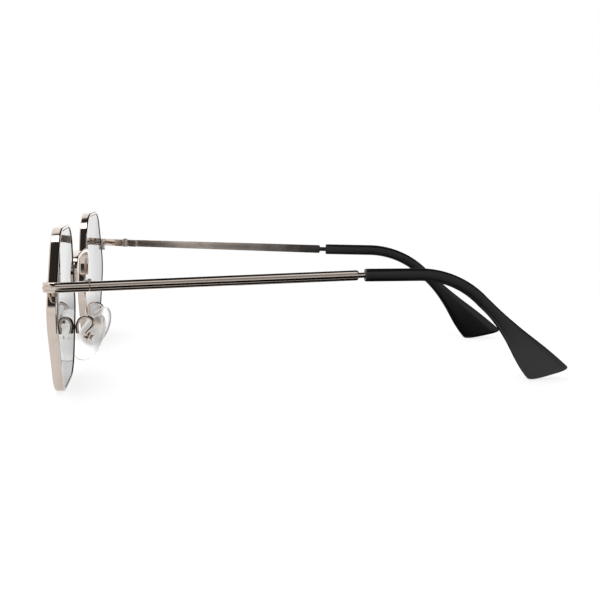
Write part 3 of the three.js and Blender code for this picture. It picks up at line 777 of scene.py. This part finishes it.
bar = ribbed_bar("bar", bar_front_height, 0, hinge_gap / 2)
bar_end = bar_length - sum(step for step, _ in bar_swage)
draw_out(0, bar_end - hinge_gap / 2, 0)
scale_end(1, 1, bar_rear_height / bar_front_height, (0, bar_end, 0))
for step, share in bar_swage:
    draw_out(0, step, 0)
    scale_end(share, 1, share, (0, 0, 0))
neck = bench(
    "neck", bpy.ops.mesh.primitive_circle_add, vertices=32, radius=neck_radius, fill_type="NGON",
    location=(0, bar_length - neck_root, 0), rotation=(pi / 2, 0, 0),
)
draw_out(0, neck_root + neck_length, 0)
mouth = bar_length + neck_length
turn_end(-tip_toe_out, "Z", (0, mouth, 0))
draw_out(core_reach * sin(tip_toe_out), core_reach * cos(tip_toe_out), -core_reach * sin(temple_rise))
combine(bar, neck, "UNION")
set_in_place(bar, left_temple, sharp=25)
fix_pair(bar, "bar", "temple", "{side}_temple", temple_metal)

# Temple tips: black plastic moulded over the core, straight to the ear, bent down behind it and flared to a
# flat paddle with a slanting end. A satin surface with a fine moulded grain.
tip_height = 3.6
tip_thickness = 2.5
tip_round = 1.0
tip_straight = 16.2
tip_bend_radius = 29.0
tip_bend = radians(44.5)
tip_bend_steps = 24
tip_mouth_round = 0.35
core_end_room = 0.15
paddle_start = 2.5
paddle_length = 31.98
paddle_width = 13.6
paddle_thickness = 2.1
paddle_cut = radians(31.8)
paddle_steps = 22
paddle_sway = 2.4
paddle_sway_back = 1.5
paddle_fullness = 0.35
end_round = 1.3
end_bow = 1.75
end_thinning = 0.8
end_widths = (0.99, 0.965, 0.92, 0.85, 0.75, 0.6, 0.4, 0.15)

black_plastic, plastic = new_finish("black_plastic")
plastic_place = plastic.place()
grain = plastic_place.noise(3200.0, detail=3.0, roughness=0.6)
handling = plastic_place.noise(90.0, detail=5.0, roughness=0.6)
plastic.cover(plastic.node("BsdfPrincipled", {}, {
    "Base Color": handling.mixed((0.005, 0.005, 0.0055, 1), (0.008, 0.008, 0.009, 1)),
    "Roughness": 0.25 + handling * 0.08 + grain * 0.05, "Specular IOR Level": 0.5,
    "Normal": grain.relief(0.05, 0.00003),
}))

tip = bench("tip", bpy.ops.mesh.primitive_plane_add, size=1, rotation=(pi / 2, 0, 0))
scale_end(tip_thickness, 1, tip_height, (0, 0, 0))
bpy.ops.mesh.bevel(offset=tip_round, segments=7, affect="VERTICES")
draw_out(0, tip_straight, 0)
bend((0, tip_straight, -tip_bend_radius), (1, 0, 0), -tip_bend, tip_bend_steps)
bend_end = Vector((0, tip_straight + tip_bend_radius * sin(tip_bend), tip_bend_radius * (cos(tip_bend) - 1)))
paddle_way = Vector((0, cos(tip_bend), -sin(tip_bend)))
paddle_side = Vector((0, sin(tip_bend), cos(tip_bend)))
end_from = paddle_length - end_round
stations = [(end_from * step / paddle_steps, 1, 1) for step in range(1, paddle_steps + 1)]
for wide in end_widths:
    bow = (1 - wide ** 3) ** (1 / 3)
    stations.append((end_from + end_bow * bow, wide, 1 - end_thinning * bow ** 6))
here, lean, width, thickness = bend_end, tip_bend, tip_height, tip_thickness
for run, wide, thick in stations:
    share = run / paddle_length
    flare = max(0, (run - paddle_start) / (paddle_length - paddle_start))
    sway = paddle_sway * share * (1 - share) * (1 - paddle_sway_back * share)
    fuller = paddle_fullness * max(0, sin(2 * pi * (share - 0.5)))
    place = bend_end + paddle_way * run + paddle_side * sway
    new_width = (tip_height + (paddle_width - tip_height) * flare ** 2 * (2 - flare) + fuller) * wide
    new_thickness = (tip_thickness + (paddle_thickness - tip_thickness) * share) * thick
    draw_out(*(place - here))
    turn_end(lean, "X", place)
    scale_end(new_thickness / thickness, 1, new_width / width, place)
    here, lean, width, thickness = place, tip_bend + paddle_cut * share, new_width, new_thickness
    turn_end(-lean, "X", place)
pick("FACE", flat_at("y", 0))
round_end(tip_mouth_round)
bore(tip, neck_radius, (0, 0, 0), (pi / 2, 0, 0), length=2 * (core_reach + core_end_room))
left_tip = (
    left_temple @ Matrix.Translation((0, mouth, 0))
    @ Matrix.Rotation(-temple_rise, 4, "X") @ Matrix.Rotation(-tip_toe_out, 4, "Z")
)
set_in_place(tip, left_tip, sharp=30)
fix_pair(tip, "ear_tip", "temple_tip", "{side}_temple", black_plastic)

# Pad boxes: U-shaped clips of folded strip, each with two ears drilled across for the pad screw. They are
# drawn round the axis on which the pad rocks, with the pad on the -X side.
clip_mouth = -0.85
clip_back = 1.6
clip_half_width = 1.05
clip_half_height = 1.1
clip_back_round = 0.5
clip_ear_round = 0.6
clip_room_half = 0.5
clip_room_back = 1.05
pad_screw_radius = 0.4
pad_drill_length = 6.0
pad_turn = Euler((radians(-28), radians(-15), radians(-20)), "ZYX").to_matrix()
pad_back = -1.35
pad_thickness = 2.1
pad_centre = Vector((9.6, 5.2, -22.9))

pad_axis = pad_centre + pad_turn @ Vector((pad_thickness / 2 - pad_back, 0, 0))
pad_from_side = Matrix.Translation(pad_axis) @ pad_turn.to_4x4()
left_pad = left_side @ pad_from_side


def pick_edges(x, axis):
    """Selects the edges at an X that also keep to one place along another axis."""
    def kept(edge):
        start, end = (getattr(v.co, axis) for v in edge.verts)
        return flat_at("x", x)(edge) and same(start, end)

    pick("EDGE", kept)


clip = slab(
    "clip", (clip_mouth, -clip_half_width, -clip_half_height), (clip_back, clip_half_width, clip_half_height),
)
pick_edges(clip_back, "y")
bpy.ops.mesh.bevel(offset=clip_back_round, segments=5)
pick_edges(clip_mouth, "z")
bpy.ops.mesh.bevel(offset=clip_ear_round, segments=5)
clip_room = slab(
    "clip_room", (-cutter_reach, -clip_room_half, -cutter_reach),
    (clip_room_back, clip_room_half, cutter_reach),
)
combine(clip, clip_room, "DIFFERENCE")
bore(clip, pad_screw_radius, (0, 0, 0), (pi / 2, 0, 0), length=pad_drill_length)
set_in_place(clip, left_pad, sharp=30)
fix_pair(clip, "pad_clip", "pad_box", "front", bright_metal)

# Pad arms: goose-neck wires, soldered by a straight foot to the back of each rim and curled over to the
# clip, where the end is let into its back.
arm_radius = 0.5
arm_end = 1.75
arm_run_in = 1.0
arm_route = [
    Vector((15.58, 1.95, -20.6)), Vector((14.319, 1.95, -17.6)), Vector((13.5, 3.0, -16.2)),
    Vector((13.5, 5.6, -16.2)), Vector((13.9, 6.5, -17.7)),
    pad_from_side @ Vector((arm_end + arm_run_in, 0, 0)), pad_from_side @ Vector((arm_end, 0, 0)),
]
bpy.ops.object.select_all(action="DESELECT")
bpy.ops.curve.primitive_bezier_curve_add()
arm = bpy.context.object
path = arm.data.splines[0]
path.bezier_points.add(len(arm_route) - 2)
for knot, spot in zip(path.bezier_points, arm_route):
    knot.co = spot
    knot.handle_left_type = knot.handle_right_type = "AUTO"
arm.data.resolution_u = 10
arm.data.bevel_depth = arm_radius
arm.data.bevel_resolution = 5
arm.data.use_fill_caps = True
bpy.ops.object.convert(target="MESH")
arm = bpy.context.object
bpy.ops.object.mode_set(mode="EDIT")
bpy.ops.mesh.select_all(action="SELECT")
bpy.ops.mesh.remove_doubles(threshold=1e-4)
set_in_place(arm, left_side, sharp=40)
fix_pair(arm, "goose_neck", "pad_arm", "front", bright_metal)

# Pad screws: the smallest of the slotted steel screws. Each goes across the ears of a clip and is the pin on
# which its pad rocks.
pad_screw = slotted_screw(pad_screw_radius, clip_half_width + running_gap)
set_in_place(pad_screw, left_pad @ Matrix.Rotation(-pi / 2, 4, "X"))
fix_pair(pad_screw, "clip_screw", "pad_screw", "front", screw_steel)

# Pad inserts: metal plates moulded into the backs of the pads, each with a lug that rocks on the pad screw.
# The lug's end is rounded about the screw.
plate_low = Vector((-1.9, -1.2, -1.0))
plate_high = Vector((-1.4, 1.2, 1.0))
lug_half = 0.4
lug_end = 0.6
insert = slab("insert", plate_low, plate_high)
plate_middle = (plate_low.x + plate_high.x) / 2
lug = slab("lug", (plate_middle, -lug_half, plate_low.z), (lug_end, lug_half, plate_high.z))
pick_edges(lug_end, "z")
bpy.ops.mesh.bevel(offset=lug_end, segments=6)
combine(insert, lug, "UNION")
bore(insert, pad_screw_radius, (0, 0, 0), (pi / 2, 0, 0), length=pad_drill_length)
set_in_place(insert, left_pad, sharp=30)
fix_pair(insert, "pad_plate", "pad_insert", "{side}_pad", bright_metal)

# Nose pads: clear soft plastic, egg-shaped, thin at the rim and full on the side that meets the nose. The
# back has a pocket for the insert.
pad_length = 15.4
pad_width = 8.0
pad_taper = 0.14
pad_profile = [(0.0, 0.84), (0.08, 0.92), (0.2, 0.97), (0.35, 0.995), (0.5, 1.0), (0.7, 0.965), (0.85, 0.88),
               (0.95, 0.72), (1.0, 0.5), (1.01, 0.25)]
pocket_room = Vector((0.15, 0.15, 0.15))

clear_plastic, clear = new_finish("clear_plastic")
clear_place = clear.place()
mould = clear_place.noise(260.0, detail=3.0)
bloom = clear_place.noise(1500.0)
edge_on = clear.node("LayerWeight", {}, {"Blend": 0.5}, "Facing")
clear_tone = mould.mixed((0.95, 0.95, 0.945, 1), (0.91, 0.91, 0.905, 1))
# Painted shade: the body's colour turns grey where the pad is seen edge-on.
pad_body = clear.node("BsdfPrincipled", {}, {
    "Base Color": edge_on.between(0.4, 0.9).mixed(clear_tone, (0.2, 0.2, 0.2, 1)),
    "Roughness": 0.3 + bloom * 0.1, "IOR": 1.16, "Transmission Weight": 0.92,
    "Normal": mould.relief(0.03, 0.00005),
})
clear.cover(clear.node("MixShader", {}, {
    0: 0.4 + edge_on * 0.5 + mould * 0.05,
    1: clear.node("BsdfTransparent", {}, {"Color": (0.965, 0.965, 0.96, 1)}),
    2: pad_body,
}))

pad = bench(
    "pad", bpy.ops.mesh.primitive_circle_add, vertices=48, radius=1, fill_type="NGON",
    location=(pad_back, 0, 0), rotation=(0, pi / 2, 0),
)
back_share = pad_profile[0][1]
back_half_length = pad_length / 2 * back_share
scale_end(1, pad_width / 2 * back_share, back_half_length, (0, 0, 0))
for point in bmesh.from_edit_mesh(pad.data).verts:
    point.co.y *= 1 - pad_taper * point.co.z / back_half_length
bmesh.update_edit_mesh(pad.data)
for (depth, share), (next_depth, next_share) in zip(pad_profile, pad_profile[1:]):
    draw_out(-pad_thickness * (next_depth - depth), 0, 0)
    scale_end(1, next_share / share, next_share / share, (0, 0, 0))
pocket_high = plate_high + pocket_room
pocket = slab("pocket", plate_low - pocket_room, (0, pocket_high.y, pocket_high.z))
combine(pad, pocket, "DIFFERENCE")
set_in_place(pad, left_pad, sharp=40)
fix_pair(pad, "clear_pad", "nose_pad", "{side}_pad", clear_plastic)

# Studio: a white table, which mirrors see dimmer on the wearer's right and brighter far out there. Two black
# cards on it, which only mirrors see, put the dark bands on the left temple and darken the inside of the
# right one. A white wall stands round it, with a dark room above, a bright window and one soft lamp.
table_size = 6.0
table_white = 0.69
table_mirrored = 0.57
table_dimmer = 0.25
table_brighter = 0.55
dimmer_edge = (0.012, -0.012)
brighter_edge = (-0.1, -0.15)
card_height = 0.0006
side_card = [(0.066, -0.069), (0.304, 0.037), (0.03, 0.031), (0.22, 0.208)]
middle_card = [(-0.032, -0.02), (0.032, -0.02), (-0.032, 0.095), (0.032, 0.095)]
wall_top = 0.27
wall_top_lower = 0.17
wall_top_higher = 0.77
wall_top_edge = 0.07
wall_white = 0.95
wall_brighter = 0.17
behind_edge = (0.1, -0.1)
before_rims_edge = (0.03, -0.08)
in_front_edge = (-0.3, -0.45)
room_dark = 0.03
room_fill = 0.55
window_near_edge = (0.38, 0.46)
window_far_edge = (1.12, 1.02)
window_sill = (0.46, 0.5)
window_head = (0.66, 0.62)
window_levels = (0.45, 1.1)
lamp_place = (0.025, -0.115, 0.24)
lamp_sides = (0.09, 0.11)
lamp_power = 0.12


def rays(start, kind):
    """One for light of a kind, such as what the camera sees, and nought for the rest."""
    return start.node("LightPath", {}, {}, f"Is {kind} Ray")


table_material, table = new_finish("white_table")
table_place = table.place()
table_side = table_place.axes()[0]
right_half = table_side.between(*dimmer_edge)
far_right = table_side.between(*brighter_edge)
mirrored_table = table_mirrored - right_half * table_dimmer + far_right * table_brighter
table_seen = rays(table, "Camera") + rays(table, "Transmission")
table_glow = table_seen * table_white + rays(table, "Glossy") * mirrored_table
speckle = table_place.noise(40.0)
table.cover(table.node("AddShader", {}, {
    0: table.node("Emission", {}, {"Color": (1, 1, 1, 1), "Strength": table_glow}),
    1: table.node("BsdfDiffuse", {}, {"Color": speckle.mixed((0.58, 0.58, 0.58, 1), (0.56, 0.56, 0.56, 1))}),
}))
bpy.ops.object.select_all(action="DESELECT")
bpy.ops.mesh.primitive_plane_add(size=table_size, location=(0, 0, 0))
floor = bpy.context.object
floor.name = "white_table"
floor.data.materials.append(table_material)

black_card, card = new_finish("black_card")
card_weave = card.place().noise(300.0)
card.cover(card.node("BsdfPrincipled", {}, {
    "Base Color": card_weave.mixed((0.004, 0.004, 0.004, 1), (0.01, 0.0095, 0.009, 1)), "Roughness": 0.9,
    "Specular IOR Level": 0.0,
}))
for name, corners in (("side_card", side_card), ("middle_card", middle_card)):
    bpy.ops.mesh.primitive_plane_add(size=1)
    sheet = bpy.context.object
    sheet.name = name
    for point, (x, y) in zip(sheet.data.vertices, corners):
        point.co = (x, y, card_height)
    sheet.data.materials.append(black_card)
    sheet.visible_camera = sheet.visible_diffuse = sheet.visible_shadow = sheet.visible_transmission = False

surround = bpy.data.worlds.new("studio")
bpy.context.scene.world = surround
surround.use_nodes = True
surround.node_tree.nodes.clear()
air = Shade(surround.node_tree)
east, north, height = air.node("TexCoord", {}, {}, "Generated").axes()


def fade(value, start, end, low=0.0, high=1.0):
    """A smooth step from one level to another between two values."""
    return value.between(start, end, low, high, "SMOOTHSTEP")


bearing = air.maths("ARCTAN2", north, east)
behind = fade(east, *behind_edge)
before_rims = fade(north, *before_rims_edge)
in_front = fade(north, *in_front_edge)
ceiling = wall_top + behind * (before_rims * wall_top_higher - wall_top_lower) + in_front
wall = fade(height - ceiling, wall_top_edge, -wall_top_edge)
window_side = fade(bearing, *window_near_edge) * fade(bearing, *window_far_edge)
window = fade(height, *window_sill, *window_levels) * fade(height, *window_head)
room = room_dark + wall * (wall_white + behind * wall_brighter)
mirrored = room + window_side * (window - room)
seen = rays(air, "Camera") + rays(air, "Transmission")
glossy = rays(air, "Glossy")
level = seen + glossy * mirrored + (1 - seen - glossy) * room_fill
air.node("OutputWorld", {}, {
    "Surface": air.node("Background", {}, {"Color": (1, 1, 1, 1), "Strength": level}),
})

bpy.ops.object.light_add(type="AREA", location=lamp_place)
lamp = bpy.context.object
lamp.name = "soft_lamp"
lamp.data.shape = "RECTANGLE"
lamp.data.size, lamp.data.size_y = lamp_sides
lamp.data.energy = lamp_power

# Camera: on the wearer's left, a little above the hinge and slightly behind the rims, tilted down and
# rolled a degree.
camera_place = Vector((0.2836006, -0.0370544, 0.0623040))
yaw, pitch, roll = radians(6.8412), radians(8.6141), radians(1.1445)
forward = Vector((-cos(yaw) * cos(pitch), sin(yaw) * cos(pitch), -sin(pitch)))
level_right = Vector((sin(yaw), cos(yaw), 0))
level_up = level_right.cross(forward)
right = level_right * cos(roll) + level_up * sin(roll)
up = level_up * cos(roll) - level_right * sin(roll)
bpy.ops.object.camera_add(location=camera_place)
camera = bpy.context.object
camera.matrix_world = Matrix((
    (right.x, up.x, -forward.x, camera_place.x),
    (right.y, up.y, -forward.y, camera_place.y),
    (right.z, up.z, -forward.z, camera_place.z),
    (0, 0, 0, 1),
))
camera.data.sensor_width = 36
camera.data.lens = 53.3253
camera.data.clip_start = 0.005
bpy.context.scene.camera = camera
bpy.context.scene.view_settings.view_transform = "Standard"
